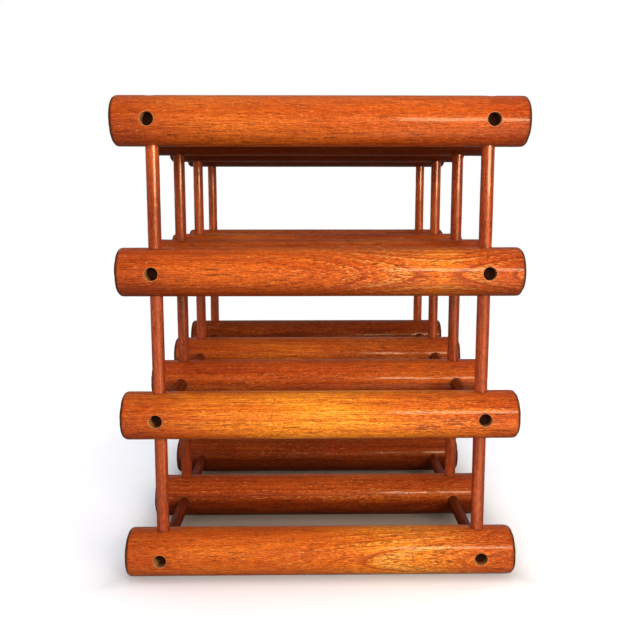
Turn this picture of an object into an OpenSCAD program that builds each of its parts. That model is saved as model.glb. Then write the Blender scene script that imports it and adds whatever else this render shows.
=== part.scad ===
// Open lattice rack: a cube of identical round wooden bars, four rows high and
// four planes deep, held apart by short pegs pushed into blind sockets.
// Every bar lies along X. Upright pegs run along Z, cross pegs along Y.
// The origin is on the floor, under the middle of the rack.

/* [Bars] */
// Length of a bar along X
bar_len = 304; // [260:1:360]
// Diameter of a bar
bar_d = 37; // [34:0.5:44]
// Radius of the rounded edge at each end of a bar
edge_r = 3.5; // [1:0.5:6]
// Distance from a bar's end to the centre of its sockets
socket_inset = 27.5; // [20:0.5:40]

/* [Lattice] */
// Centre to centre distance of neighbouring bars, in height and in depth
pitch = 111.5; // [100:0.5:135]

/* [Pegs and sockets] */
// Diameter of the blind sockets bored into a bar
socket_d = 10; // [8:0.5:11]
// Depth of a socket, from the crown of the bar
socket_depth = 12; // [8:0.5:12]
// Space left between a peg's end and the bottom of its socket
bottom_gap = 0.5; // [0.2:0.1:2]
// Gap around a peg in its socket, on the radius
peg_ease = 0.02; // [0.02:0.01:0.1]
// Chamfer on a peg's ends
peg_chamfer = 0.8; // [0.4:0.1:1.5]

/* [Hidden] */
$fn = 96;
rows = ["bottom", "lower", "upper", "top"];
planes = ["front", "midfront", "midback", "back"];
bays_up = ["lowbay", "midbay", "topbay"];
bays_deep = ["frontbay", "centrebay", "rearbay"];
sides = ["left", "right"];

bar_r = bar_d / 2;
socket_x = bar_len / 2 - socket_inset;
peg_r = socket_d / 2 - peg_ease;
peg_grip = socket_depth - bottom_gap;
peg_len = pitch - bar_d + 2 * peg_grip;

// Height of a row's bar centres above the floor
function row_z(i) = bar_r + i * pitch;
// Depth of a plane's bar centres, 0 being the front plane
function plane_y(j) = (j - 1.5) * pitch;

// Half outline of a bar, for turning: radius along X, length along Y, with a
// quarter round where the bar's side meets each of its ends
module bar_outline() {
    translate([0, -bar_len / 2 + edge_r]) square([bar_r, bar_len - 2 * edge_r]);
    translate([0, -bar_len / 2]) square([bar_r - edge_r, bar_len]);
    for (end = [-1, 1])
        intersection() {
            translate([bar_r - edge_r, end * (bar_len / 2 - edge_r)]) circle(r = edge_r);
            translate([0, -bar_len / 2]) square([bar_r + 1, bar_len]);
        }
}

// One blind socket, opening along +Z from the middle of a bar
module socket() {
    translate([0, 0, bar_r - socket_depth])
        cylinder(d = socket_d, h = socket_depth + 2);
}

// A turned bar along X with four sockets, a quarter turn apart, near each end
module bar() {
    difference() {
        rotate([0, 90, 0]) rotate_extrude() bar_outline();
        for (side = [-1, 1])
            for (quarter = [0, 90, 180, 270])
                translate([side * socket_x, 0, 0])
                    rotate([quarter, 0, 0]) socket();
    }
}

// A peg along Z, centred, with a small chamfer at each end
module peg() {
    rotate_extrude() polygon([
        [0, -peg_len / 2],
        [peg_r - peg_chamfer, -peg_len / 2],
        [peg_r, -peg_len / 2 + peg_chamfer],
        [peg_r, peg_len / 2 - peg_chamfer],
        [peg_r - peg_chamfer, peg_len / 2],
        [0, peg_len / 2]
    ]);
}

// The bar of row i, plane j
module placed_bar(i, j) {
    color("#B4622C") translate([0, plane_y(j), row_z(i)]) bar();
}

// The upright peg between rows i and i+1, in plane j, on side s (-1 or 1)
module upright_peg(i, j, s) {
    color("#8E4426")
        translate([s * socket_x, plane_y(j), row_z(i) + pitch / 2]) peg();
}

// The left and right cross pegs between planes j and j+1, in row i
module cross_pegs(i, j) {
    color("#8E4426")
        for (s = [-1, 1])
            translate([s * socket_x, plane_y(j) + pitch / 2, row_z(i)])
                rotate([90, 0, 0]) peg();
}

for (i = [0:3]) for (j = [0:3])
    placed_bar(i, j);

for (i = [0:2]) for (j = [0:3]) for (s = [0, 1])
    upright_peg(i, j, s == 0 ? -1 : 1);

for (i = [0:3]) for (j = [0:2])
    cross_pegs(i, j);
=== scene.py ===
import math

import bpy
import numpy as np
from mathutils import Matrix, Vector


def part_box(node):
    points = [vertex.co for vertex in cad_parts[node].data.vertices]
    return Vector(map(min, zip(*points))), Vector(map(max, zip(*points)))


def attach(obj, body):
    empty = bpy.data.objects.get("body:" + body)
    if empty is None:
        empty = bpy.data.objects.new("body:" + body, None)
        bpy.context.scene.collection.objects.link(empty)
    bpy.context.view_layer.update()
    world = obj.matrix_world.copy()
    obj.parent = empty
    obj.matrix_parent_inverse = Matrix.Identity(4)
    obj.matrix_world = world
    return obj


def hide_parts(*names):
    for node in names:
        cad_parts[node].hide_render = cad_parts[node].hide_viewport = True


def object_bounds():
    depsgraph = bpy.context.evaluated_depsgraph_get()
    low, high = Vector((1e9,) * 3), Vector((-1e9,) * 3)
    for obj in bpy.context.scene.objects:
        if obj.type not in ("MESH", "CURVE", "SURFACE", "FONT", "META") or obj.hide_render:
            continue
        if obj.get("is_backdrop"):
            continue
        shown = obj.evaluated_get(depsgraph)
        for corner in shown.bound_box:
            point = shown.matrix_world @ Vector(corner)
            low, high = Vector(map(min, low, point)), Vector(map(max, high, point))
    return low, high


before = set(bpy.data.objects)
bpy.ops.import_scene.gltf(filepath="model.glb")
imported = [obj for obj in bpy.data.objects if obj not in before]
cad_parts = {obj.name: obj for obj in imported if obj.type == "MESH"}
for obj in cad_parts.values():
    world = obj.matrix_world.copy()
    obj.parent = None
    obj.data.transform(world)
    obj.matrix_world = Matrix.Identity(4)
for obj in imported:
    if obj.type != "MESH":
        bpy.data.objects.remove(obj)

cad_box = [list(v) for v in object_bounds()]
MM = 0.001

# ---------------------------------------------------------------- dimensions
# A bar's and a peg's sizes and the sockets' places come from the imported nodes; the bore, the end rounding and the rim
# softening are given: a bar lies along X, a peg along Z or Y.
ROWS = ["bottom", "lower", "upper", "top"]
PLANES = ["front", "midfront", "midback", "back"]
BAYS_UP = ["lowbay", "midbay", "topbay"]
BAYS_DEEP = ["frontbay", "centrebay", "rearbay"]
SIDES = ["left", "right"]


def middle(node):
    lo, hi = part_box(node)
    return (lo + hi) / 2, hi - lo


_c, _s = middle("bar_bottom_front")
HALF = _s.x * 500          # half a bar's length, mm
R = _s.z * 500             # a bar's radius, mm
_p, _ps = middle("upright_peg_lowbay_front_left")
PEG_R = _ps.x * 500        # a peg's radius, mm
PEG_HALF = _ps.z * 500     # half a peg's length, mm
SOCKET_X = abs(_p.x - _c.x) * 1000
SOCKET_R = 5.0
SOCKET_FLOOR = R - 12.0    # socket bottom's distance from the bar's axis
EDGE = 3.5                 # rounding of a bar's ends
RIM = 0.55                 # softening of a socket's rim

# ------------------------------------------------------------ bar's topology
STEP = 1.5
NT = 96
GX = np.arange(-(HALF - EDGE), HALF - EDGE + 1e-6, STEP)
NX = len(GX)
HX, HT = 6, 7              # half size of the patch round a socket, in cells


def bar_topology():
    """Vertex parameters and faces of a bar: a lathe grid whose cells round each
    socket are exchanged for rings that run from the grid to the rim, over it,
    down the bore and across its bottom."""
    kind, par, faces, uvs = [], [], [], []
    bare = set()               # faces inside a bore

    def vert(k, *p):
        kind.append(k)
        par.append(p + (0.0,) * (4 - len(p)))
        return len(kind) - 1

    S0, S1, V0, V1 = 0.006, 0.994, 0.185, 0.994
    arc = HALF - EDGE + EDGE * math.pi / 2
    ct = NT // 8               # the map's cut runs between two rows of sockets

    def uside(x, extra=0.0):
        s = x + (math.copysign(extra, x) if extra else 0.0)
        return S0 + (S1 - S0) * (s + arc) / (2 * arc)

    def vside(j):
        return V0 + (V1 - V0) * (j - ct) / NT

    ix_s = [int(np.argmin(abs(GX - s * SOCKET_X))) for s in (-1, 1)]
    jt_s = [0, NT // 4, NT // 2, 3 * NT // 4]
    inside, cut = set(), set()
    for i0 in ix_s:
        for j0 in jt_s:
            for a in range(-HX + 1, HX):
                for b in range(-HT + 1, HT):
                    inside.add((i0 + a, (j0 + b) % NT))
            for a in range(-HX, HX):
                for b in range(-HT, HT):
                    cut.add((i0 + a, (j0 + b) % NT))
    ids = {}
    for i in range(NX):
        for j in range(NT):
            if (i, j) not in inside:
                ids[i, j] = vert(0, GX[i], 2 * math.pi * j / NT)
    for i in range(NX - 1):
        for jj in range(ct, ct + NT):
            j, k = jj % NT, (jj + 1) % NT
            if (i, j) in cut:
                continue
            faces.append((ids[i, j], ids[i + 1, j], ids[i + 1, k], ids[i, k]))
            u0, u1, v0, v1 = uside(GX[i]), uside(GX[i + 1]), vside(jj), vside(jj + 1)
            uvs.append(((u0, v0), (u1, v0), (u1, v1), (u0, v1)))
    # ends: rounding, then the flat
    for e, sgn in ((0, -1), (1, 1)):
        prev = [ids[(0 if sgn < 0 else NX - 1), j] for j in range(NT)]
        pu = uside(sgn * (HALF - EDGE))
        for a in np.radians([13, 26, 39, 52, 65, 78, 90]):
            ring = [vert(1, sgn, 2 * math.pi * j / NT, a) for j in range(NT)]
            u = uside(sgn * (HALF - EDGE), EDGE * a)
            for jj in range(ct, ct + NT):
                j, k = jj % NT, (jj + 1) % NT
                f = (prev[j], ring[j], ring[k], prev[k])
                q = ((pu, vside(jj)), (u, vside(jj)), (u, vside(jj + 1)), (pu, vside(jj + 1)))
                faces.append(f if sgn > 0 else f[::-1])
                uvs.append(q if sgn > 0 else q[::-1])
            prev, pu = ring, u
        r0 = R - EDGE
        cu, cv, cr = 0.09 + 0.17 * e, 0.092, 0.08

        def disc(j, r):
            t = 2 * math.pi * j / NT
            return (cu + cr * r / r0 * math.cos(t), cv + cr * r / r0 * math.sin(t))

        pr = r0
        for r in (0.88 * r0, 0.72 * r0, 0.55 * r0, 0.38 * r0, 0.22 * r0, 0.09 * r0):
            ring = [vert(2, sgn, 2 * math.pi * j / NT, r) for j in range(NT)]
            for j in range(NT):
                k = (j + 1) % NT
                f = (prev[j], ring[j], ring[k], prev[k])
                q = (disc(j, pr), disc(j, r), disc(j + 1, r), disc(j + 1, pr))
                faces.append(f if sgn > 0 else f[::-1])
                uvs.append(q if sgn > 0 else q[::-1])
            prev, pr = ring, r
        c = vert(2, sgn, 0.0, 0.0)
        for j in range(NT):
            k = (j + 1) % NT
            f = (prev[j], c, prev[k])
            q = (disc(j, pr), (cu, cv), disc(j + 1, pr))
            faces.append(f if sgn > 0 else f[::-1])
            uvs.append(q if sgn > 0 else q[::-1])
    # sockets
    n_s = 0
    for i0 in ix_s:
        for j0 in jt_s:
            loop = []
            for b in range(-HT, HT):
                loop.append((i0 + HX, j0 + b))
            for a in range(HX, -HX, -1):
                loop.append((i0 + a, j0 + HT))
            for b in range(HT, -HT, -1):
                loop.append((i0 - HX, j0 + b))
            for a in range(-HX, HX):
                loop.append((i0 + a, j0 - HT))
            n = len(loop)
            x0, t0 = GX[i0], 2 * math.pi * j0 / NT
            low = j0 - HT
            shift = NT if low < ct - NT // 2 or j0 + HT <= ct else 0
            base = [(GX[i] - x0, (j - j0) * 2 * math.pi / NT) for i, j in loop]
            ang = [math.atan2(R * b, a) for a, b in base]
            prev = [ids[i, j % NT] for i, j in loop]
            pq = [(uside(GX[i]), vside(j + shift)) for i, j in loop]
            for w in (0.3, 0.55, 0.78, 1.0):
                ring, q = [], []
                for (bx, bt), g in zip(base, ang):
                    rx = (SOCKET_R + RIM) * math.cos(g)
                    rt = math.asin((SOCKET_R + RIM) * math.sin(g) / R)
                    px, pt = bx + (rx - bx) * w, bt + (rt - bt) * w
                    ring.append(vert(0, x0 + px, t0 + pt))
                    q.append((uside(x0 + px), vside(j0 + shift + pt * NT / 2 / math.pi)))
                for m in range(n):
                    o = (m + 1) % n
                    faces.append((prev[m], prev[o], ring[o], ring[m]))
                    uvs.append((pq[m], pq[o], q[o], q[m]))
                prev, pq = ring, q
            cu, cv, cr = 0.395 + 0.0755 * n_s, 0.092, 0.036
            n_s += 1
            steps = [(3, a) for a in np.radians([22.5, 45, 67.5, 90])]
            steps += [(4, d) for d in (0.25, 0.5, 0.75, 0.97)]
            steps += [(5, r) for r in (4.75, 3.2, 1.6, 0.55)]
            for m, (kd, v) in enumerate(steps):
                ring = [vert(kd, x0, t0, g, v) for g in ang]
                r0 = cr * (1 - m / (len(steps) + 1))
                r1 = cr * (1 - (m + 1) / (len(steps) + 1))
                for s in range(n):
                    o = (s + 1) % n
                    if m >= 4:
                        bare.add(len(faces))
                    faces.append((prev[s], prev[o], ring[o], ring[s]))
                    uvs.append(tuple((cu + r * math.cos(g), cv + r * math.sin(g))
                                     for r, g in ((r0, ang[s]), (r0, ang[o]), (r1, ang[o]), (r1, ang[s]))))
                prev = ring
            c = vert(5, x0, t0, 0.0, 0.0)
            for s in range(n):
                o = (s + 1) % n
                bare.add(len(faces))
                faces.append((prev[s], prev[o], c))
                uvs.append(tuple((cu + r * math.cos(g), cv + r * math.sin(g))
                                 for r, g in ((r1, ang[s]), (r1, ang[o]), (0, 0))))
    slots = np.array([1 if f in bare else 0 for f in range(len(faces))], np.int32)
    return np.array(kind), np.array(par, float), faces, uvs, slots


B_KIND, B_PAR, B_FACES, B_UVS, B_SLOTS = bar_topology()
B_CORNERS = np.array([p for f in B_UVS for p in f], np.float32).ravel()


def waves(rng, x, t, amp, count, kx, kt):
    """A smooth, seeded unevenness over the unrolled side."""
    d = np.zeros_like(x)
    for _ in range(count):
        d += rng.normal() * np.sin(x * rng.uniform(-kx, kx) + rng.integers(-kt, kt + 1) * t
                                   + rng.uniform(0, 6.28))
    return amp * d / math.sqrt(count)


def bar_points(seed, tell):
    rng = np.random.default_rng(seed)
    kind, p = B_KIND, B_PAR
    X, T, A = p[:, 0].copy(), p[:, 1].copy(), p[:, 2].copy()
    xs = np.where((kind == 1) | (kind == 2), X * HALF, X)
    bore = kind >= 3
    rho = np.where(kind == 3, SOCKET_R + RIM * (1 - np.sin(p[:, 3])),
                   np.where(kind == 4, SOCKET_R, p[:, 3]))
    xb = X + rho * np.cos(A)
    lb = rho * np.sin(A)
    xs = np.where(bore, xb, xs)
    ts = np.where(bore, T + np.arcsin(np.clip(lb / R, -1, 1)), T)

    # unevenness of the turned and sanded side, then knocks and dents
    d = waves(rng, xs, ts, 0.045, 9, 0.05, 3) + waves(rng, xs, ts, 0.018, 14, 0.22, 9)
    for _ in range(34):
        dx, dt = rng.uniform(-HALF, HALF), rng.uniform(0, 2 * math.pi)
        rx, rt, dep = rng.uniform(1.6, 7.0), rng.uniform(1.2, 2.6), rng.uniform(0.04, 0.22)
        near = ((xs - dx) / rx) ** 2 + (R * (np.mod(ts - dt + math.pi, 2 * math.pi) - math.pi) / rt) ** 2
        d -= dep * np.exp(-near)
    for sgn in (-1, 1):        # small knocks on the end edges
        for _ in range(11):
            dt, rt, dep = rng.uniform(0, 2 * math.pi), rng.uniform(1.0, 3.2), rng.uniform(0.08, 0.42)
            near = ((xs - sgn * (HALF - 1.2)) / 2.0) ** 2 + (R * (np.mod(ts - dt + math.pi, 2 * math.pi) - math.pi) / rt) ** 2
            d -= dep * np.exp(-near)
    end_in = waves(rng, p[:, 2] * np.cos(T), T * 0, 0.03, 6, 0.5, 0)

    r = np.full(len(X), R) + d
    x = xs.copy()
    e = kind == 1
    r[e] = (R - EDGE) + EDGE * np.cos(A[e]) + d[e] * np.cos(A[e] * 0.8)
    x[e] = X[e] * (HALF - EDGE + EDGE * np.sin(A[e]) + 0.6 * d[e] * np.sin(A[e]))
    f = kind == 2
    r[f] = A[f]
    x[f] = X[f] * (HALF - 0.02 + np.minimum(end_in[f], 0.0) - 0.10 * (1 - A[f] / (R - EDGE)))
    y = -r * np.cos(ts)
    z = r * np.sin(ts)
    # bores: along the radial direction at T, sideways by lb
    top = np.sqrt(np.maximum(R * R - lb * lb, 0)) + d
    h = np.where(kind == 3, top - RIM * (1 - np.cos(p[:, 3])),
                 np.where(kind == 4, (top - RIM) + (SOCKET_FLOOR - top + RIM) * p[:, 3], SOCKET_FLOOR))
    h = np.where((kind == 5) & (rho > 4.5), SOCKET_FLOOR, h)
    h = np.where((kind == 5) & (rho < 0.6), SOCKET_FLOOR - 0.35, h)
    ragged = 0.05 * np.sin(5 * A + 9 * T + seed) + 0.03 * np.sin(11 * A + seed * 1.7)
    scale = np.where(kind == 4, 1 + 0.006 * np.sin(7 * A + p[:, 3] * 5), 1.0)
    lb2, xb2 = lb * scale, X + (xb - X) * scale
    xb2 = xb2 + np.where(kind == 3, ragged * np.cos(A) * np.sin(p[:, 3] * 2), 0)
    y = np.where(bore, -(h * np.cos(T) - lb2 * np.sin(T)), y)
    z = np.where(bore, h * np.sin(T) + lb2 * np.cos(T), z)
    x = np.where(bore, xb2, x)
    co = np.stack([x, y, z], 1)
    # keep to the solid's own box
    lim = np.array([HALF, R, R])
    co = np.clip(co, -lim, lim)
    turn = np.clip((np.sin(A) - 0.12) / 0.32, 0, 1)
    endg = np.where(kind == 2, 1.0, np.where(kind == 1, turn * turn * (3 - 2 * turn), 0.0))
    sock = np.where(kind >= 4, 1.0, np.where(kind == 3, np.sin(p[:, 3]) ** 2, 0.0))
    deep = np.where(kind == 5, 1.0, np.where(kind == 4, p[:, 3], 0.0))
    return co * MM, endg, sock, deep


def attribute(mesh, name, values):
    a = mesh.attributes.new(name, "FLOAT", "POINT")
    a.data.foreach_set("value", np.asarray(values, np.float32))


def finish_mesh(mesh, corners):
    uv = mesh.uv_layers.new(name="OFBake")
    uv.data.foreach_set("uv", corners)
    mesh.polygons.foreach_set("use_smooth", np.ones(len(mesh.polygons), bool))
    mesh.update()


def make_bar(name, node, seed, material, tell):
    co, endg, sock, deep = bar_points(seed, tell)
    mesh = bpy.data.meshes.new(name)
    mesh.from_pydata(co.tolist(), [], B_FACES)
    finish_mesh(mesh, B_CORNERS)
    attribute(mesh, "endg", endg)
    attribute(mesh, "sock", sock)
    attribute(mesh, "deep", deep)
    mesh.materials.append(material)
    mesh.materials.append(BORE)
    mesh.polygons.foreach_set("material_index", B_SLOTS)
    o = bpy.data.objects.new(name, mesh)
    bpy.context.scene.collection.objects.link(o)
    o.location, _ = middle(node)
    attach(o, "root")
    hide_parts(node)
    return o


# ------------------------------------------------------------- peg's topology
PN = 40


def peg_rings():
    """(distance along the peg, radius share) down the peg, caps included."""
    L, c = PEG_HALF, 0.8
    rings = [(-L, 0.0), (-L, 0.45), (-L, 1 - c / PEG_R - 0.03), (-L + 0.12, 1 - c / PEG_R * 0.7),
             (-L + c * 0.7, 1 - 0.03), (-L + c, 1.0)]
    inner = np.linspace(-L + c, L - c, 66)[1:-1]
    rings += [(s, 1.0) for s in inner]
    rings += [(-s, r) for s, r in reversed(rings[:6])]
    return rings


P_RINGS = peg_rings()


def peg_topology():
    faces, uvs, n = [], [], len(P_RINGS)
    first = {0: 0}
    at = 1
    for m in range(1, n - 1):
        first[m] = at
        at += PN
    last = at
    L, M = PEG_HALF, 6
    for m in range(1, n - 2):
        a, b = first[m], first[m + 1]
        for j in range(PN):
            k = (j + 1) % PN
            faces.append((a + j, a + k, b + k, b + j))
            if m < 3 or m > n - 5:      # cap
                cu = 0.09 if m < 3 else 0.25
                q = []
                for mm, jj in ((m, j), (m, j + 1), (m + 1, j + 1), (m + 1, j)):
                    t, r = 2 * math.pi * jj / PN, 0.07 * P_RINGS[mm][1]
                    q.append((cu + r * math.cos(t), 0.08 + r * math.sin(t)))
                uvs.append(tuple(q))
            else:
                u = lambda mm: 0.01 + 0.98 * (P_RINGS[mm][0] + L) / (2 * L)
                v = lambda jj: 0.17 + 0.82 * jj / PN
                uvs.append(((u(m), v(j)), (u(m), v(j + 1)), (u(m + 1), v(j + 1)), (u(m + 1), v(j))))
    for j in range(PN):
        k = (j + 1) % PN
        for cu, m, f in ((0.09, 1, (0, first[1] + k, first[1] + j)), (0.25, n - 2, (last, first[n - 2] + j, first[n - 2] + k))):
            r = 0.07 * P_RINGS[m][1]
            t0, t1 = 2 * math.pi * j / PN, 2 * math.pi * (j + 1) / PN
            a, b = (cu + r * math.cos(t0), 0.08 + r * math.sin(t0)), (cu + r * math.cos(t1), 0.08 + r * math.sin(t1))
            faces.append(f)
            uvs.append(((cu, 0.08), b, a) if m == 1 else ((cu, 0.08), a, b))
    return faces, np.array([p for f in uvs for p in f], np.float32).ravel()


P_FACES, P_CORNERS = peg_topology()
OPEN = PEG_HALF - 11.5     # half the length that shows between two bars


def peg_points(seed, shift=(0, 0, 0)):
    rng = np.random.default_rng(seed)
    s = np.array([r[0] for r in P_RINGS])
    q = np.array([r[1] for r in P_RINGS])
    t = 2 * math.pi * np.arange(PN) / PN
    S, T = np.meshgrid(s, t, indexing="ij")
    d = waves(rng, S, T, 0.050, 6, 0.11, 2) + waves(rng, S, T, 0.018, 8, 0.35, 5)
    d += rng.uniform(0.0, 0.05) * np.cos(2 * (T - rng.uniform(0, 3.1)))
    for _ in range(5):
        ds, dt, rs, dep = rng.uniform(-OPEN, OPEN), rng.uniform(0, 6.28), rng.uniform(1.0, 4.0), rng.uniform(0.04, 0.14)
        near = ((S - ds) / rs) ** 2 + (PEG_R * (np.mod(T - dt + math.pi, 2 * math.pi) - math.pi) / 1.6) ** 2
        d -= dep * np.exp(-near)
    shown = 1 / (1 + np.exp((np.abs(S) - OPEN) / 0.5))
    r = q[:, None] * (PEG_R - 0.03 + (d - 0.01) * shown)
    r = np.minimum(r, q[:, None] * (PEG_R + 0.10))
    co = np.stack([r * np.cos(T), r * np.sin(T), S], -1)
    co = np.concatenate([co[0, :1], co[1:-1].reshape(-1, 3), co[-1, :1]])
    gap = np.concatenate([[1.0], np.repeat(np.clip((np.abs(s[1:-1]) - OPEN + 1.5) / 3.0, 0, 1), PN), [1.0]])
    endg = np.concatenate([[1.0], np.repeat(np.where(q[1:-1] < 0.93, 1.0, 0.0), PN), [1.0]])
    return co, gap, endg


def make_peg(name, nodes, where, seed, material, lying=False):
    co, gap, endg = peg_points(seed)
    mesh = bpy.data.meshes.new(name)
    mesh.from_pydata((co * MM).tolist(), [], P_FACES)
    finish_mesh(mesh, P_CORNERS)
    attribute(mesh, "gap", gap)
    attribute(mesh, "endg", endg)
    mesh.materials.append(material)
    o = bpy.data.objects.new(name, mesh)
    bpy.context.scene.collection.objects.link(o)
    spin = Matrix.Rotation(np.random.default_rng(seed + 5).uniform(0, 6.28), 4, "Z")
    turn = Matrix.Rotation(math.radians(90), 4, "X") if lying else Matrix.Identity(4)
    o.matrix_world = Matrix.Translation(where) @ turn @ spin
    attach(o, "root")
    if nodes:
        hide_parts(*nodes)
    return o


# ------------------------------------------------------------------ materials
class Nodes:
    """A short way to write a node tree."""

    def __init__(self, name):
        self.m = bpy.data.materials.new(name)
        self.m.use_nodes = True
        self.t = self.m.node_tree
        self.t.nodes.clear()

    def new(self, kind, **kw):
        n = self.t.nodes.new(kind)
        for k, v in kw.items():
            setattr(n, k, v)
        return n

    def put(self, sock, v):
        if isinstance(v, bpy.types.NodeSocket):
            self.t.links.new(v, sock)
        else:
            sock.default_value = v

    def math(self, op, a, b=None, c=None, clamp=False):
        n = self.new("ShaderNodeMath", operation=op, use_clamp=clamp)
        for s, v in zip(n.inputs, (a, b, c)):
            if v is not None:
                self.put(s, v)
        return n.outputs[0]

    def vmath(self, op, a, b=None, scale=None):
        n = self.new("ShaderNodeVectorMath", operation=op)
        self.put(n.inputs[0], a)
        if b is not None:
            self.put(n.inputs[1], b)
        if scale is not None:
            self.put(n.inputs["Scale"], scale)
        return n.outputs[0]

    def xyz(self, x, y, z):
        n = self.new("ShaderNodeCombineXYZ")
        for s, v in zip(n.inputs, (x, y, z)):
            self.put(s, v)
        return n.outputs[0]

    def noise(self, vec, scale=1.0, detail=2.0, rough=0.5, colour=False, distort=0.0):
        n = self.new("ShaderNodeTexNoise")
        self.put(n.inputs["Vector"], vec)
        n.inputs["Scale"].default_value = scale
        n.inputs["Detail"].default_value = detail
        n.inputs["Roughness"].default_value = rough
        n.inputs["Distortion"].default_value = distort
        return n.outputs["Color" if colour else "Fac"]

    def ramp(self, v, stops, ease="LINEAR"):
        n = self.new("ShaderNodeValToRGB")
        self.put(n.inputs[0], v)
        n.color_ramp.interpolation = ease
        e = n.color_ramp.elements
        while len(e) > len(stops):
            e.remove(e[-1])
        while len(e) < len(stops):
            e.new(0.5)
        for el, (p, c) in zip(e, stops):
            el.position = p
            el.color = c if len(c) == 4 else (*c, 1)
        return n.outputs["Color"]

    def span(self, v, a, b, c=0.0, d=1.0, smooth=True):
        n = self.new("ShaderNodeMapRange", interpolation_type="SMOOTHSTEP" if smooth else "LINEAR")
        self.put(n.inputs["Value"], v)
        for k, x in zip(("From Min", "From Max", "To Min", "To Max"), (a, b, c, d)):
            self.put(n.inputs[k], x)
        return n.outputs["Result"]

    def mix(self, f, a, b, blend="MIX"):
        n = self.new("ShaderNodeMix", data_type="RGBA", blend_type=blend, clamp_result=False)
        self.put(n.inputs["Factor"], f)
        A = [i for i in n.inputs if i.name == "A" and i.type == "RGBA"][0]
        B = [i for i in n.inputs if i.name == "B" and i.type == "RGBA"][0]
        self.put(A, a if isinstance(a, bpy.types.NodeSocket) else (*a, 1))
        self.put(B, b if isinstance(b, bpy.types.NodeSocket) else (*b, 1))
        return [o for o in n.outputs if o.type == "RGBA"][0]

    def attr(self, name):
        n = self.new("ShaderNodeAttribute", attribute_name=name, attribute_type="GEOMETRY")
        return n.outputs["Fac"]


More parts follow.
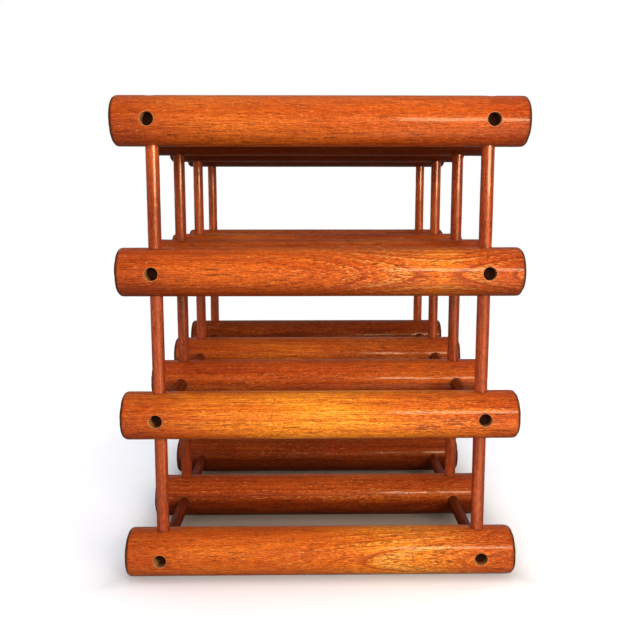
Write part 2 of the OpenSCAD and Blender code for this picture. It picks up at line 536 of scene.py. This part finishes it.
def wood(name, seed, pith=(34.0, 8.0), tilt=(0.0, 0.0), bow=(0.0, 50.0, 0.0), ring=3.4, phase=0.0,
         gold=(0.0, 60.0, 0.1), tone=0.0, red=0.0, figure=0.5, coarse=(0.0, 40.0, 0.0), ends=0.5, wander=1.0,
         vary=0.8, even=0.0, jitter=1.0, show=None, dark=1.0, painted_shade_under=(1.0, -1.0, 0.0)):
    """Solid wood. Growth rings round a pith that lies beside the bar, tilted and
    bowed against it, so that the side shows straight grain or arches and the
    ends show the rings; pores and fibres run along the bar and follow the rings.
    bow: how far the pith draws back (mm), over what length, from which x.
    The painted shade on the underside: how dark it is, and between which heights
    (in radii) it gives way to the undarkened top."""
    n = Nodes(name)
    rng = np.random.default_rng(seed)
    off = rng.uniform(-300, 300, 3)
    tc = n.new("ShaderNodeTexCoord")
    P = n.vmath("SCALE", tc.outputs["Object"], scale=1000.0)
    Po = n.vmath("ADD", P, tuple(off))
    low = n.noise(n.vmath("MULTIPLY", Po, (0.010, 0.035, 0.035)), 1.0, 1.0, 0.5, colour=True)
    low = n.vmath("MULTIPLY", n.vmath("SUBTRACT", low, (0.5, 0.5, 0.5)), (0.0, 5.0 * wander, 5.0 * wander))
    mid = n.noise(n.vmath("MULTIPLY", Po, (0.045, 0.14, 0.14)), 1.0, 1.0, 0.5, colour=True)
    mid = n.vmath("MULTIPLY", n.vmath("SUBTRACT", mid, (0.5, 0.5, 0.5)), (0.0, 1.1 * jitter, 1.1 * jitter))
    sw = n.new("ShaderNodeSeparateXYZ")
    n.put(sw.inputs[0], n.vmath("ADD", n.vmath("ADD", P, low), mid))
    x, y, z = sw.outputs
    sp = n.new("ShaderNodeSeparateXYZ")
    n.put(sp.inputs[0], P)
    a = sp.outputs[0]

    def bell(centre, width, power=1.0):
        g = n.math("DIVIDE", n.math("SUBTRACT", a, centre), width)
        return n.math("POWER", 2.718, n.math("MULTIPLY", n.math("MULTIPLY", g, g), -power))

    back = n.math("MULTIPLY", n.math("SUBTRACT", 1.0, bell(bow[2], bow[1], 0.5)), bow[0])
    yy = n.math("SUBTRACT", n.math("SUBTRACT", n.math("SUBTRACT", y, pith[0]), n.math("MULTIPLY", x, tilt[0])), back)
    zz = n.math("SUBTRACT", n.math("SUBTRACT", z, pith[1]), n.math("MULTIPLY", x, tilt[1]))
    rho = n.math("SQRT", n.math("ADD", n.math("MULTIPLY", yy, yy), n.math("MULTIPLY", zz, zz)))
    arc = n.math("MULTIPLY", n.math("ARCTAN2", zz, yy), 45.0)
    Q = n.vmath("ADD", n.xyz(x, rho, arc), tuple(off[::-1]))

    def q(sx, sr, sa, detail=1.0, rough=0.5):
        return n.noise(n.vmath("MULTIPLY", Q, (sx, sr, sa)), 1.0, detail, rough)

    # growth rings of uneven width: a pale, porous start and a thin dark end
    width = n.math("MULTIPLY", n.math("SUBTRACT", q(0.0, 0.07, 0.0, 1.0), 0.5), 1.6 * (1.0 - even))
    tt = n.math("ADD", n.math("ADD", n.math("DIVIDE", rho, ring), width), phase)
    fr = n.math("FRACT", tt)
    early = n.math("MULTIPLY", n.span(fr, 0.0, 0.07), n.span(fr, 0.16, 0.55, 1.0, 0.0))
    late = n.math("MULTIPLY", n.span(fr, 0.82, 0.95), n.span(fr, 0.97, 1.0, 1.0, 0.0))

    if show:                   # the figure is strong round one place, faint elsewhere
        local = n.math("ADD", n.math("MULTIPLY", bell(show[0], show[1]), 1.0 - show[2]), show[2])
        early, late = n.math("MULTIPLY", early, local), n.math("MULTIPLY", late, local)

    # tone: broad zones, bands along the grain, a golden stretch, redder ends
    zone = q(0.009, 0.055, 0.050, 1.0, 0.5)
    bands = q(0.007, 0.50, 0.17, 2.0, 0.55)
    near_end = n.span(n.math("ABSOLUTE", a), 92.0, 150.0)
    v = n.math("ADD", n.math("MULTIPLY", zone, 0.55 * vary), n.math("MULTIPLY", bands, 0.50 * vary))
    v = n.math("ADD", v, n.math("MULTIPLY", bell(gold[0], gold[1]), gold[2]))
    v = n.math("ADD", v, tone + 0.495 - 0.525 * vary)
    v = n.math("SUBTRACT", v, n.math("MULTIPLY", near_end, 0.15 * ends))
    v = n.math("SUBTRACT", v, n.math("MULTIPLY", late, 0.16 * figure))
    v = n.math("ADD", v, n.math("MULTIPLY", early, 0.07 * figure))
    col = n.ramp(v, [
        (0.18, (0.180, 0.0230, 0.0060)), (0.36, (0.375, 0.0560, 0.0085)), (0.50, (0.490, 0.0910, 0.0105)),
        (0.62, (0.595, 0.1410, 0.0130)), (0.76, (0.760, 0.2400, 0.0170)), (0.92, (0.900, 0.3800, 0.0500))])
    if red:
        col = n.mix(red, col, n.mix(1.0, col, (0.88, 0.62, 0.80), "MULTIPLY"))

    # fibres, flecks and open pores, all drawn out along the grain
    fleck = q(0.17, 2.00, 1.80, 1.0, 0.6)
    fine = q(0.55, 3.20, 2.90, 0.0, 0.5)
    streak = q(0.026, 1.45, 1.05, 2.0, 0.55)
    rough_zone = n.math("MULTIPLY", bell(coarse[0], coarse[1]), coarse[2])
    amp = n.math("ADD", n.span(a, -70.0, 95.0, 0.80, 0.98), n.math("MULTIPLY", rough_zone, 0.10), clamp=True)
    col = n.mix(1.0, col, n.ramp(streak, [(0.30, (0.76, 0.65, 0.58)), (0.44, (0.97, 0.95, 0.94)), (0.56, (1.01, 1.02, 1.02)), (0.72, (1.09, 1.16, 1.20))]), "MULTIPLY")
    col = n.mix(amp, col, n.ramp(fleck, [(0.30, (0.68, 0.55, 0.49)), (0.50, (1.0, 1.0, 1.0)), (0.70, (1.18, 1.32, 1.42))]), "MULTIPLY")
    col = n.mix(amp, col, n.ramp(fine, [(0.28, (0.66, 0.56, 0.52)), (0.50, (1.0, 1.0, 1.0)), (0.72, (1.24, 1.38, 1.48))]), "MULTIPLY")
    lower = n.math("ADD", n.math("MULTIPLY", early, 0.085 * figure), n.math("MULTIPLY", rough_zone, 0.06))
    pore_a = n.span(q(0.050, 2.30, 2.00, 0.0), n.math("SUBTRACT", 0.648, lower), n.math("SUBTRACT", 0.735, lower))
    pore_b = n.span(q(0.30, 2.90, 2.60, 0.0), n.math("SUBTRACT", 0.680, lower), n.math("SUBTRACT", 0.755, lower))
    pit = n.span(n.noise(n.vmath("MULTIPLY", Po, (0.30, 0.62, 0.62)), 1.0, 1.0, 0.5), n.math("SUBTRACT", 0.78, n.math("MULTIPLY", near_end, 0.08)), 0.85)
    pores = n.math("MAXIMUM", n.math("MULTIPLY", pore_a, 0.85), n.math("MULTIPLY", pore_b, 0.75))
    pores = n.math("MAXIMUM", pores, n.math("MULTIPLY", pit, 0.7))
    col = n.mix(n.math("MULTIPLY", pores, 0.86), col, (0.110, 0.0165, 0.0050))
    # painted highlight: pale tan dashes in the open grain stand in for glints of light
    pale = n.span(q(0.24, 2.3, 2.1, 0.0), n.math("SUBTRACT", 0.775, n.math("MULTIPLY", lower, 2.2)), n.math("SUBTRACT", 0.84, n.math("MULTIPLY", lower, 1.6)))
    col = n.mix(n.math("MULTIPLY", pale, 0.42), col, (0.92, 0.46, 0.135))
    col = n.mix(n.math("MULTIPLY", late, 0.34 * figure), col, (0.20, 0.030, 0.0065))
    col = n.mix(n.math("MULTIPLY", near_end, 0.34 * ends), col, n.mix(1.0, col, (0.62, 0.45, 0.60), "MULTIPLY"))

    # painted shade: darkens the colour of the bars behind, partly their own tone and partly the shade they lie in
    if dark != 1.0:
        col = n.mix(1.0, col, (dark, dark ** 1.1, dark ** 1.1), "MULTIPLY")
    if painted_shade_under[0] != 1.0:        # painted shade: the underside is darkened in the colour and blends into the undarkened top
        soft = n.math("ADD", sp.outputs[2], n.math("MULTIPLY", n.math("SUBTRACT", zone, 0.5), 5.0))
        unshaded_share = n.span(soft, painted_shade_under[1] * R, painted_shade_under[2] * R)
        col = n.mix(unshaded_share, n.mix(1.0, col, (painted_shade_under[0], painted_shade_under[0] ** 1.15, painted_shade_under[0] ** 1.1), "MULTIPLY"), col)

    # dark end grain with its rings; bare wood at a socket's rim, with painted shade darkening it deeper in the bore
    endg, sock, deep = n.attr("endg"), n.attr("sock"), n.attr("deep")
    dots = n.span(n.noise(n.vmath("MULTIPLY", Po, (0.05, 1.9, 1.9)), 1.0, 1.0, 0.4), 0.56, 0.70)
    grain = n.mix(late, (0.340, 0.0960, 0.0250), (0.150, 0.0370, 0.0110))
    grain = n.mix(n.math("MULTIPLY", early, 0.45), grain, (0.470, 0.1560, 0.0440))
    across = n.new("ShaderNodeVectorMath", operation="LENGTH")
    n.put(across.inputs[0], n.vmath("MULTIPLY", P, (0.0, 1.0, 1.0)))
    grain = n.mix(n.span(across.outputs["Value"], R - EDGE - 2.0, R - EDGE + 0.8), grain, (0.050, 0.0130, 0.0050))
    grain = n.mix(n.math("MULTIPLY", dots, 0.6), grain, (0.022, 0.0065, 0.0035))
    col = n.mix(n.math("MULTIPLY", endg, 0.93), col, grain)
    raw = n.mix(fleck, (0.30, 0.125, 0.048), (0.52, 0.255, 0.110))
    # painted shade: the bare wood darkens with depth in the bore
    raw = n.mix(n.span(deep, 0.25, 0.95), raw, (0.060, 0.0200, 0.0080))
    raw = n.mix(n.span(deep, 0.93, 1.0), raw, (0.020, 0.0080, 0.0040))
    col = n.mix(sock, col, raw)
    edge = n.math("MULTIPLY", n.math("MULTIPLY", sock, n.math("SUBTRACT", 1.0, sock)), 4.0)
    col = n.mix(n.math("MULTIPLY", edge, 0.42), col, (0.64, 0.30, 0.12))

    # relief and gloss
    h = n.math("MULTIPLY", pores, -1.0)
    h = n.math("ADD", h, n.math("MULTIPLY", fleck, 0.95))
    h = n.math("ADD", h, n.math("MULTIPLY", fine, 0.42))
    h = n.math("ADD", h, n.math("MULTIPLY", streak, 0.55))
    h = n.math("ADD", h, n.math("MULTIPLY", n.noise(Po, 0.11, 2.0), 1.2))
    h = n.math("ADD", h, n.math("MULTIPLY", n.math("MULTIPLY", dots, endg), -0.8))
    bump = n.new("ShaderNodeBump")
    bump.inputs["Strength"].default_value = 0.60
    bump.inputs["Distance"].default_value = 0.00015
    n.put(bump.inputs["Height"], h)
    rough = n.span(n.noise(Po, 0.035, 3.0, 0.6), 0.3, 0.7, 0.30, 0.40)
    rough = n.math("ADD", rough, n.math("MULTIPLY", pores, 0.25))
    rough = n.math("ADD", rough, n.math("MULTIPLY", endg, 0.24))
    rough = n.math("ADD", rough, n.math("MULTIPLY", sock, 0.42), clamp=True)
    p = n.new("ShaderNodeBsdfPrincipled")
    n.put(p.inputs["Base Color"], col)
    n.put(p.inputs["Roughness"], rough)
    n.put(p.inputs["Normal"], bump.outputs[0])
    p.inputs["Specular IOR Level"].default_value = 0.22
    p.inputs["Specular Tint"].default_value = (1.0, 0.70, 0.34, 1)
    p.inputs["Coat Weight"].default_value = 0.36
    p.inputs["Coat Roughness"].default_value = 0.105
    p.inputs["Coat IOR"].default_value = 1.5
    out = n.new("ShaderNodeOutputMaterial")
    n.put(out.inputs["Surface"], p.outputs[0])
    return n.m


def bore_wood(name):
    """Bare wood inside a socket: tan and fibrous at the mouth, with painted shade that turns it dark brown below and
    near-black at the bottom, and painted light on the wall whose normal points +x.
    """
    n = Nodes(name)
    tc = n.new("ShaderNodeTexCoord")
    P = n.vmath("SCALE", tc.outputs["Object"], scale=1000.0)
    fibre = n.noise(n.vmath("MULTIPLY", P, (0.35, 2.2, 2.2)), 1.0, 2.0, 0.6)
    blot = n.noise(P, 0.45, 2.0)
    deep = n.attr("deep")
    col = n.mix(n.span(fibre, 0.32, 0.68), (0.19, 0.066, 0.022), (0.40, 0.180, 0.070))
    # painted shade: darker with depth in the bore, broken by blotches
    dark = n.math("ADD", deep, n.math("MULTIPLY", n.math("SUBTRACT", blot, 0.5), 0.30))
    col = n.mix(n.span(dark, 0.10, 0.65), col, (0.060, 0.0170, 0.0065))
    side = n.new("ShaderNodeSeparateXYZ")
    n.put(side.inputs[0], tc.outputs["Normal"])
    # painted light: the wall facing +x, towards the light from the right, is lighter tan
    painted_light_wall = n.math("MULTIPLY", n.span(side.outputs[0], 0.25, 0.80), n.span(dark, 0.45, 1.05, 1.0, 0.0))
    col = n.mix(painted_light_wall, col, n.mix(fibre, (0.46, 0.190, 0.062), (0.66, 0.330, 0.135)))
    # painted shade: near-black at the socket's bottom
    col = n.mix(n.span(deep, 0.90, 1.0), col, (0.024, 0.0080, 0.0036))
    bump = n.new("ShaderNodeBump")
    bump.inputs["Strength"].default_value = 0.6
    bump.inputs["Distance"].default_value = 0.0002
    n.put(bump.inputs["Height"], fibre)
    p = n.new("ShaderNodeBsdfPrincipled")
    n.put(p.inputs["Base Color"], col)
    n.put(p.inputs["Roughness"], n.span(fibre, 0.3, 0.7, 0.80, 0.95))
    n.put(p.inputs["Normal"], bump.outputs[0])
    p.inputs["Specular IOR Level"].default_value = 0.06
    out = n.new("ShaderNodeOutputMaterial")
    n.put(out.inputs["Surface"], p.outputs[0])
    return n.m


def peg_wood(name, seed, light=1.0, gloss=1.0):
    """Redder dowel wood: straight grain along the peg, fine pits, satin."""
    n = Nodes(name)
    rng = np.random.default_rng(seed)
    off = rng.uniform(-300, 300, 3)
    tc = n.new("ShaderNodeTexCoord")
    P = n.vmath("ADD", n.vmath("SCALE", tc.outputs["Object"], scale=1000.0), tuple(off))

    def q(s, l, detail=1.0, rough=0.5):
        return n.noise(n.vmath("MULTIPLY", P, (s, s, l)), 1.0, detail, rough)

    zone, band = q(0.10, 0.018), q(0.60, 0.022, 2.0, 0.55)
    fleck, fine = q(1.9, 0.26, 1.0, 0.6), q(3.1, 0.75, 0.0, 0.5)
    tone = n.math("ADD", n.math("MULTIPLY", zone, 0.55), n.math("MULTIPLY", band, 0.45))
    col = n.ramp(tone, [(0.24, (0.120, 0.0150, 0.0048)), (0.42, (0.230, 0.0320, 0.0085)),
                        (0.57, (0.345, 0.0560, 0.0140)), (0.78, (0.470, 0.0950, 0.0230))])
    col = n.mix(1.0, col, n.ramp(fleck, [(0.30, (0.58, 0.48, 0.44)), (0.50, (1, 1, 1)), (0.70, (1.28, 1.42, 1.55))]), "MULTIPLY")
    col = n.mix(1.0, col, n.ramp(fine, [(0.28, (0.72, 0.64, 0.60)), (0.50, (1, 1, 1)), (0.72, (1.20, 1.28, 1.34))]), "MULTIPLY")
    pores = n.span(q(2.1, 0.15, 0.0), 0.66, 0.75)
    pits = n.span(n.noise(n.vmath("MULTIPLY", P, (1.2, 1.2, 0.8)), 1.0, 1.0), 0.69, 0.77)
    pores = n.math("MAXIMUM", n.math("MULTIPLY", pores, 0.85), n.math("MULTIPLY", pits, 0.6))
    col = n.mix(n.math("MULTIPLY", pores, 0.75), col, (0.050, 0.0085, 0.0035))
    # a light below 1 darkens the colour; in the shaded dowel copies it is painted shade
    if light != 1.0:
        col = n.mix(1.0, col, (light, light ** 1.25, light ** 1.25), "MULTIPLY")
    gap, endg = n.attr("gap"), n.attr("endg")
    col = n.mix(n.math("MULTIPLY", gap, 0.60), col, (0.045, 0.0090, 0.0040))
    col = n.mix(n.math("MULTIPLY", endg, 0.7), col, (0.075, 0.0200, 0.0080))
    h = n.math("MULTIPLY", pores, -1.0)
    h = n.math("ADD", h, n.math("MULTIPLY", fleck, 0.95))
    h = n.math("ADD", h, n.math("MULTIPLY", fine, 0.45))
    h = n.math("ADD", h, n.math("MULTIPLY", n.noise(P, 0.22, 2.0), 0.8))
    bump = n.new("ShaderNodeBump")
    bump.inputs["Strength"].default_value = 0.60
    bump.inputs["Distance"].default_value = 0.00014
    n.put(bump.inputs["Height"], h)
    rough = n.span(n.noise(P, 0.06, 2.0), 0.3, 0.7, 0.25, 0.36)
    rough = n.math("ADD", rough, n.math("MULTIPLY", pores, 0.25), clamp=True)
    p = n.new("ShaderNodeBsdfPrincipled")
    n.put(p.inputs["Base Color"], col)
    n.put(p.inputs["Roughness"], rough)
    n.put(p.inputs["Normal"], bump.outputs[0])
    p.inputs["Specular IOR Level"].default_value = 0.80 * gloss
    p.inputs["Specular Tint"].default_value = (1.0, 0.58, 0.34, 1)
    p.inputs["Coat Weight"].default_value = 0.65 * gloss
    p.inputs["Coat Roughness"].default_value = 0.11
    p.inputs["Coat IOR"].default_value = 1.5
    out = n.new("ShaderNodeOutputMaterial")
    n.put(out.inputs["Surface"], p.outputs[0])
    return n.m


# ---------------------------------------------------------------- build bars
# How each bar was cut from its tree: where the pith lay (mm), its tilt and bow
# against the bar, and where its colour turns golden.
CUT = {
    # painted light: the top front bar's golden stretch is put on its left half and its tone lowered, evening out the
    # lamp's stronger light on its right half
    ("top", "front"): dict(pith=(8, 60), tilt=(0.002, -0.004), ring=3.0, gold=(-70, 110, 0.10), tone=-0.07, figure=0.25, ends=0.45, wander=0.5, vary=0.45,
                             painted_shade_under=(0.66, -1.0, 0.0)),
    ("upper", "front"): dict(pith=(34, 1), bow=(8.0, 58.0, 87.0), ring=2.75, phase=0.765, gold=(90, 17, 0.15), tone=-0.015, figure=1.45,
                             coarse=(60, 45, 1.0), ends=0.5, wander=0.05, vary=0.5, even=1.0, jitter=0.35, show=(95, 70, 0.25), painted_shade_under=(0.55, -1.0, 0.0)),
    ("lower", "front"): dict(pith=(46, 26), tilt=(0.004, -0.010), ring=3.8, gold=(-6, 72, 0.19), tone=0.06, figure=0.45, coarse=(95, 30, 0.6), ends=0.8, wander=0.6, vary=0.7,
                               painted_shade_under=(0.86, -1.0, 0.0)),
    ("bottom", "front"): dict(pith=(31, 1), tilt=(0.046, 0.004), ring=3.6, phase=-0.21, gold=(62, 52, 0.19), tone=0.03, figure=1.35,
                              coarse=(85, 45, 1.0), ends=0.6, wander=0.05, vary=0.5, even=1.0, jitter=0.4, show=(62, 45, 0.2)),
}
# How dark the bars behind are, partly their own tone and partly painted shade: (tone, redness, share of the light
# thrown back)
BEHIND = {
    ("lower", "midfront"): (0.0, 0.35, 1.0), ("lower", "midback"): (-0.01, 0.0, 0.95), ("lower", "back"): (-0.12, 0.2, 0.58),
    ("bottom", "midfront"): (-0.05, 0.4, 0.84), ("bottom", "midback"): (-0.07, 0.3, 0.76), ("bottom", "back"): (-0.05, 0.3, 0.74),
    ("upper", "midfront"): (-0.03, 0.3, 0.80), ("upper", "midback"): (-0.04, 0.2, 0.80), ("upper", "back"): (-0.04, 0.2, 0.80),
    ("top", "midfront"): (-0.05, 0.2, 0.72), ("top", "midback"): (-0.03, 0.2, 0.74), ("top", "back"): (-0.02, 0.1, 0.75),
}
# painted shade on each row's underside: (how dark, heights in radii where it gives way to the top)
UNDERSIDE_SHADE = {"bottom": (0.50, -0.15, 0.45), "lower": (0.60, -0.25, 0.40), "upper": (0.62, -0.6, 0.3), "top": (0.40, -0.5, 0.3)}
BORE = bore_wood("bare_bore")
bars = {}
for i, row in enumerate(ROWS):
    for j, plane in enumerate(PLANES):
        seed = 100 + 10 * i + j
        g = np.random.default_rng(seed)
        cut = CUT.get((row, plane)) or dict(
            pith=(float(g.uniform(25, 60) * g.choice([-1, 1])), float(g.uniform(-40, 40))),
            tilt=(float(g.uniform(-0.02, 0.02)), float(g.uniform(-0.015, 0.015))),
            ring=float(g.uniform(3.0, 4.2)), phase=float(g.uniform(0, 1)),
            gold=(float(g.uniform(-90, 90)), float(g.uniform(35, 80)), float(g.uniform(0, 0.08))),
            tone=BEHIND[row, plane][0], red=BEHIND[row, plane][1], dark=BEHIND[row, plane][2], figure=float(g.uniform(0.4, 0.9)),
            coarse=(float(g.uniform(-100, 100)), 40.0, float(g.uniform(0, 0.7))), ends=float(g.uniform(0.3, 0.7)), wander=0.7, vary=0.75, painted_shade_under=UNDERSIDE_SHADE[row])
        mat = wood(f"teak_{row}_{plane}", seed, **cut)
        bars[row, plane] = make_bar(f"teak_bar_{row}_{plane}", f"bar_{row}_{plane}", seed, mat, j)

# ---------------------------------------------------------------- build pegs
# painted shade: dark, less glossy copies of the dowel wood for the lying pegs of the two lower rows, which sit in shade
SHADED = [peg_wood(f"dowel_dark_{k}", 950 + k, v, 0.3) for k, v in enumerate((0.26, 0.31))]
PEG_MATS = [peg_wood(f"dowel_{k}", 900 + k, v) for k, v in enumerate((1.0, 0.9, 1.08, 0.82, 0.96, 1.12))]
k = 0
for b in BAYS_UP:
    for p in PLANES:
        for s in SIDES:
            node = f"upright_peg_{b}_{p}_{s}"
            k += 1
            make_peg(f"dowel_{b}_{p}_{s}", [node], middle(node)[0], 500 + k, PEG_MATS[(k * 5 + k // 4) % 6])
for r in ROWS:
    for b in BAYS_DEEP:
        node = f"cross_pegs_{r}_{b}"
        c, size = middle(node)
        for s, sx in (("left", -1), ("right", 1)):
            k += 1
            where = Vector((c.x + sx * (size.x / 2 - PEG_R * MM), c.y, c.z))
            kinds = SHADED if r in ("bottom", "lower") else PEG_MATS
            make_peg(f"dowel_cross_{r}_{b}_{s}", [node], where, 500 + k, kinds[(k * 5 + k // 4) % len(kinds)], lying=True)

# ------------------------------------------------------------------- setting
scene = bpy.context.scene


def area(name, where, target, w, h, power, colour=(1, 1, 1)):
    d = bpy.data.lights.new(name, "AREA")
    d.shape = "RECTANGLE"
    d.size, d.size_y = w, h
    d.energy = power
    d.color = colour
    o = bpy.data.objects.new(name, d)
    scene.collection.objects.link(o)
    o.location = where
    o.rotation_euler = (Vector(target) - Vector(where)).to_track_quat("-Z", "Y").to_euler()
    return o


def polar(az, el, dist, c=(0, -0.17, 0.19)):
    a, e = math.radians(az), math.radians(el)
    return (c[0] + dist * math.sin(a) * math.cos(e), c[1] - dist * math.cos(a) * math.cos(e), c[2] + dist * math.sin(e))


# a small lamp beside the camera gives the gloss; the soft ones only fill
lamp = area("lamp", (0.40, -0.72, 0.375), (0.40, 0.0, 0.27), 0.56, 0.135, 4.2, (1.0, 0.76, 0.48))
lamp.visible_camera = False
for light in (area("soft_front", polar(-4, 11, 1.9), (0, -0.1, 0.17), 1.7, 1.0, 37, (1.0, 0.94, 0.83)),
              area("ceiling", (0.0, -0.20, 1.7), (0, -0.02, 0.2), 1.4, 1.2, 12, (1.0, 0.95, 0.87)),
              area("soft_rear", (0.1, 1.95, 0.50), (0, 0.1, 0.18), 1.8, 0.8, 24, (1.0, 0.95, 0.88)),
              area("soft_left", (-1.9, 0.35, 0.50), (0, 0, 0.18), 1.4, 0.8, 15, (1.0, 0.96, 0.90)),
              area("soft_right", (1.9, 0.35, 0.50), (0, 0, 0.18), 1.4, 0.8, 16, (1.0, 0.95, 0.88))):
    light.visible_glossy = False
    light.visible_camera = False

world = bpy.data.worlds.new("soft_studio")
scene.world = world
world.use_nodes = True
wt = world.node_tree
wt.nodes.clear()
bg1 = wt.nodes.new("ShaderNodeBackground")
bg1.inputs[0].default_value = (1, 0.97, 0.92, 1)
bg1.inputs[1].default_value = 0.13
bg2 = wt.nodes.new("ShaderNodeBackground")
bg2.inputs[0].default_value = (1, 1, 1, 1)
bg2.inputs[1].default_value = 1.0
lp = wt.nodes.new("ShaderNodeLightPath")
mx = wt.nodes.new("ShaderNodeMixShader")
wo = wt.nodes.new("ShaderNodeOutputWorld")
way = wt.nodes.new("ShaderNodeTexCoord")
part = wt.nodes.new("ShaderNodeSeparateXYZ")
ease = wt.nodes.new("ShaderNodeMapRange")
for key, value in (("From Min", -0.3), ("From Max", 0.8), ("To Min", 0.06), ("To Max", 0.22)):
    ease.inputs[key].default_value = value
wt.links.new(way.outputs["Generated"], part.inputs[0])
wt.links.new(part.outputs["Y"], ease.inputs["Value"])
wt.links.new(ease.outputs["Result"], bg1.inputs[1])
wt.links.new(lp.outputs["Is Camera Ray"], mx.inputs[0])
wt.links.new(bg1.outputs[0], mx.inputs[1])
wt.links.new(bg2.outputs[0], mx.inputs[2])
wt.links.new(mx.outputs[0], wo.inputs[0])

# floor: pale, fading into the white surround
mesh = bpy.data.meshes.new("floor")
rings, n = [0.0, 0.3, 0.6, 0.9, 1.3, 1.8, 2.6, 4.0, 8.0, 30.0], 64
vs = [(0, 0, 0)] + [(r * math.cos(2 * math.pi * j / n), r * math.sin(2 * math.pi * j / n), 0) for r in rings[1:] for j in range(n)]
fs = [(0, 1 + j, 1 + (j + 1) % n) for j in range(n)]
for m in range(len(rings) - 2):
    a, b = 1 + m * n, 1 + (m + 1) * n
    fs += [(a + j, b + j, b + (j + 1) % n, a + (j + 1) % n) for j in range(n)]
mesh.from_pydata(vs, [], fs)
floor = bpy.data.objects.new("floor", mesh)
scene.collection.objects.link(floor)
fm = Nodes("pale_floor")
geo = fm.new("ShaderNodeNewGeometry")
ln = fm.new("ShaderNodeVectorMath", operation="LENGTH")
fm.put(ln.inputs[0], geo.outputs["Position"])
fade = fm.span(ln.outputs["Value"], 0.42, 1.10)
speck = fm.noise(geo.outputs["Position"], 3.0, 3.0)
sep = fm.new("ShaderNodeSeparateXYZ")
fm.put(sep.inputs[0], geo.outputs["Position"])
beside = fm.math("MAXIMUM", fm.math("SUBTRACT", fm.math("ABSOLUTE", sep.outputs[0]), 0.152),
                 fm.math("SUBTRACT", fm.math("ABSOLUTE", sep.outputs[1]), 0.172))
# painted shadow: the floor's colour is darker and its glow weaker under the rack's footprint
painted_shade_under = fm.span(beside, -0.035, 0.035)
aside = fm.span(beside, 0.0, 0.30)
seen = fm.new("ShaderNodeBsdfDiffuse")   # the paper as the eye sees it: bright, with soft contact shadows and a painted shadow under the rack
fm.put(seen.inputs["Color"], fm.mix(painted_shade_under, (0.385, 0.355, 0.35), fm.mix(aside, (0.84, 0.885, 1.0), fm.mix(speck, (0.915, 0.905, 0.965), (0.945, 0.935, 0.99)))))
glow = fm.new("ShaderNodeEmission")
glow.inputs[0].default_value = (0.93, 1.0, 1.14, 1)
fm.put(glow.inputs[1], fm.math("MULTIPLY", fm.span(painted_shade_under, 0.0, 1.0, 0.0, 0.29, False), fm.span(aside, 0.0, 1.0, 0.76, 1.0, False)))
both = fm.new("ShaderNodeAddShader")
fm.put(both.inputs[0], seen.outputs[0])
fm.put(both.inputs[1], glow.outputs[0])
white = fm.new("ShaderNodeEmission")
white.inputs[0].default_value = (1, 1, 1, 1)
white.inputs[1].default_value = 1.0
ms = fm.new("ShaderNodeMixShader")
fm.put(ms.inputs[0], fade)
fm.put(ms.inputs[1], both.outputs[0])
fm.put(ms.inputs[2], white.outputs[0])
back = fm.new("ShaderNodeBsdfDiffuse")   # what it throws back onto the rack, less with distance
fm.put(back.inputs["Color"], fm.mix(fm.span(sep.outputs[1], -0.19, -0.165), (0.34, 0.33, 0.32), (0.125, 0.12, 0.115)))
# painted light: a warm glowing patch on the floor, seen only by glossy rays, that puts low highlights on the pegs and
# bars
glint = fm.new("ShaderNodeEmission")
glint.inputs[0].default_value = (1.0, 0.60, 0.34, 1)
slope = fm.math("DIVIDE", fm.math("ADD", sep.outputs[0], 0.02), fm.math("MAXIMUM", fm.math("SUBTRACT", -0.12, sep.outputs[1]), 0.01))
lit = fm.math("MULTIPLY", fm.span(slope, 0.15, 0.40), fm.span(slope, 1.0, 1.5, 1.0, 0.0))
fm.put(glint.inputs[1], fm.math("MULTIPLY", lit, fm.span(sep.outputs[1], -0.30, -0.22, 1.9, 0.0)))
bounce_and_glint = fm.new("ShaderNodeAddShader")
fm.put(bounce_and_glint.inputs[0], back.outputs[0])
fm.put(bounce_and_glint.inputs[1], glint.outputs[0])
path = fm.new("ShaderNodeLightPath")
kind_of = fm.new("ShaderNodeMixShader")
fm.put(kind_of.inputs[0], path.outputs["Is Glossy Ray"])
fm.put(kind_of.inputs[1], back.outputs[0])
fm.put(kind_of.inputs[2], bounce_and_glint.outputs[0])
pick = fm.new("ShaderNodeMixShader")
fm.put(pick.inputs[0], path.outputs["Is Camera Ray"])
fm.put(pick.inputs[1], kind_of.outputs[0])
fm.put(pick.inputs[2], ms.outputs[0])
fo = fm.new("ShaderNodeOutputMaterial")
fm.put(fo.inputs["Surface"], pick.outputs[0])
mesh.materials.append(fm.m)
floor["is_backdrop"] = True

# camera
cam = bpy.data.cameras.new("camera")
cam.sensor_width = 36.0
cam.lens = 726.9 / 640 * 36.0
cam.shift_y = -23.3 / 640
cam.clip_start, cam.clip_end = 0.01, 100
co = bpy.data.objects.new("camera", cam)
scene.collection.objects.link(co)
yaw, pitch = math.radians(0.85), math.radians(7.60)
fwd = Vector((math.sin(yaw) * math.cos(pitch), math.cos(yaw) * math.cos(pitch), -math.sin(pitch)))
right = Vector((math.cos(yaw), -math.sin(yaw), 0))
up = right.cross(fwd)
rot = Matrix((right, up, -fwd)).transposed()
co.matrix_world = Matrix.Translation((-0.00863, -0.71573, 0.29563)) @ rot.to_4x4()
scene.camera = co
scene.view_settings.view_transform = "Standard"
scene.view_settings.look = "None"
scene.view_settings.exposure = 0.0

{"cad": cad_box, "visual": [list(v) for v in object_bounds()]}
